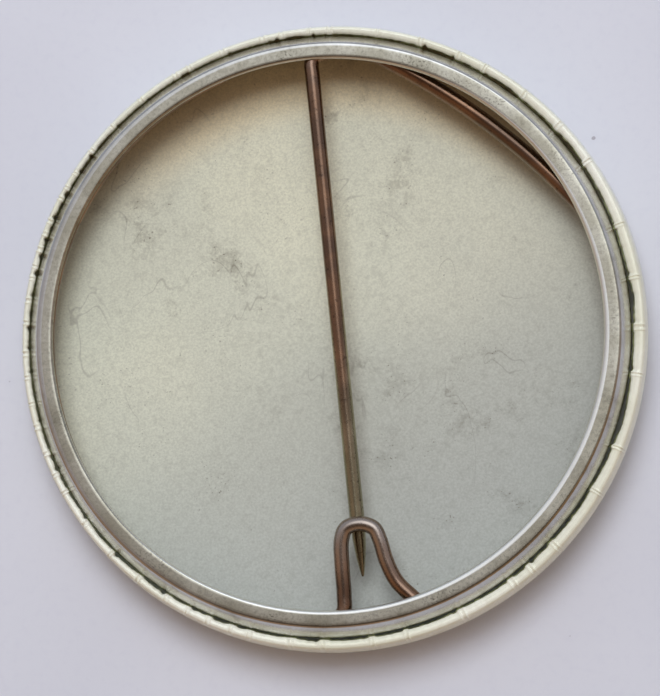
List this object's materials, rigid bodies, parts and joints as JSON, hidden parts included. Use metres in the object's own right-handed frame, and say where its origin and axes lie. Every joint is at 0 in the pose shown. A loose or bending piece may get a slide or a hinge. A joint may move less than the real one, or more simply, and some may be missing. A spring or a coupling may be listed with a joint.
{
  "type": "pin-back button badge",
  "caption": "Round pin-back button badge: a shallow tinplate shell under paper and clear film, clamped by a collet ring, with a spring-wire pin held shut by its own wire catch.",
  "frame": {"origin": "middle of the badge's face, which is its lowest point as it lies face down", "axes": "+Z out of the back of the badge, +Y from the catch towards the bend of the pin, +X to the right seen from the back"},
  "size_m": [0.0448, 0.0448, 0.0049],
  "materials": {
    "clear_film": "clear glossy polyester film, yellowed slightly, wrinkled into fine pleats where it folds over the rim",
    "face_paper": "plain uncoated white paper, matte, no print",
    "shell_tinplate": "dull beige-grey tinplate with fine dark specks, rub marks and smudges",
    "collet_tinplate": "semi-bright drawn tinplate, finely speckled, bright along its crest and its cut inner edge",
    "copper_washed_wire": "copper-washed spring steel wire, tarnished brown, brighter copper where it is rubbed"
  },
  "bodies": {
    "badge": {"clear_film": "clear_film", "face_paper": "face_paper", "front_shell": "shell_tinplate", "collet_ring": "collet_tinplate"},
    "wire": {"spring_ring": "copper_washed_wire"},
    "pin": {"pin_arm": "copper_washed_wire"}
  },
  "joints": [
    {"name": "wire_turn", "type": "hinge", "parent": "badge", "child": "wire", "pos_m": [0, 0, 0.0041], "axis": [0, 0, 1], "continuous": true},
    {"name": "pin_release", "type": "hinge", "parent": "wire", "child": "pin", "pos_m": [-0.0011, 0.0192, 0.0041], "axis": [-0.0804, 0.8324, -0.5484], "range_deg": [0, 90], "stiffness_Nm_per_rad": 0.01}
  ]
}
